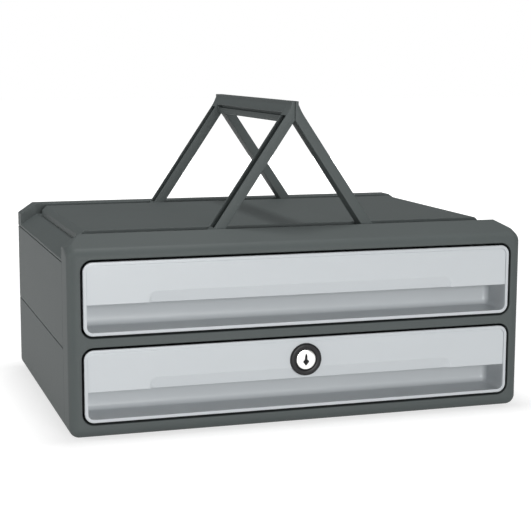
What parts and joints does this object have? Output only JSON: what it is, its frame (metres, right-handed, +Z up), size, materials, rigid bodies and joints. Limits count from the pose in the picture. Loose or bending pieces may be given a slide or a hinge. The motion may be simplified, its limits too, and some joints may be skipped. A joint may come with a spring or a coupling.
{
  "type": "desktop file drawer",
  "caption": "Stacked desktop drawer unit in slate plastic with light grey drawers, a cam lock and a folding two-part carrying handle that stands over the top.",
  "frame": {"origin": "middle of the footprint, on the surface that the rubber feet stand on", "axes": "+Z up, +X to the right seen from the front, +Y from the drawer fronts to the rear wall"},
  "size_m": [0.37, 0.272, 0.2506],
  "materials": {
    "slate_plastic": "fine satin grain",
    "light_grey_plastic": "smooth satin",
    "light_grey_panel": "smooth satin",
    "dark_rail_plastic": "smooth, low friction",
    "black_plastic": "satin",
    "bright_nickel": "bright plated",
    "zinc": "die-cast",
    "steel": "zinc plated",
    "foot_rubber": "matte"
  },
  "bodies": {
    "case": {"front_frame": "slate_plastic", "lower_case": "slate_plastic", "upper_case": "slate_plastic", "top_cover": "slate_plastic", "front_left_pin": "steel", "rear_left_pin": "steel", "front_right_pin": "steel", "rear_right_pin": "steel", "lower_left_rail": "dark_rail_plastic", "lower_right_rail": "dark_rail_plastic", "upper_left_rail": "dark_rail_plastic", "upper_right_rail": "dark_rail_plastic", "rail_screws": "steel", "case_screws": "steel", "cover_screws": "steel", "feet": "foot_rubber"},
    "upper_drawer": {"upper_drawer_tray": "light_grey_plastic", "upper_drawer_panel": "light_grey_panel"},
    "lower_drawer": {"lower_drawer_tray": "light_grey_plastic", "lower_drawer_panel": "light_grey_panel", "lock_ring": "black_plastic", "lock_barrel": "zinc", "lock_clip": "steel"},
    "lock_cylinder": {"lock_plug": "bright_nickel", "lock_cam": "steel", "lock_cam_screw": "steel"},
    "left_bail": {"left_bail": "slate_plastic"},
    "right_bail": {"right_bail": "slate_plastic"}
  },
  "joints": [
    {"name": "upper_drawer_slide", "type": "slide", "parent": "case", "child": "upper_drawer", "axis": [0, -1, 0], "range_m": [0, 0.19]},
    {"name": "lower_drawer_slide", "type": "slide", "parent": "case", "child": "lower_drawer", "axis": [0, -1, 0], "range_m": [0, 0.19]},
    {"name": "lock_turn", "type": "hinge", "parent": "lower_drawer", "child": "lock_cylinder", "pos_m": [0, -0.1343, 0.0517], "axis": [0, -1, 0], "range_deg": [0, 90]},
    {"name": "left_bail_fold", "type": "hinge", "parent": "case", "child": "left_bail", "pos_m": [-0.06416, 0, 0.14835], "axis": [0, -1, 0], "range_deg": [0, 124]},
    {"name": "right_bail_fold", "type": "hinge", "parent": "case", "child": "right_bail", "pos_m": [0.06416, 0, 0.14835], "axis": [0, 1, 0], "range_deg": [0, 124]}
  ]
}
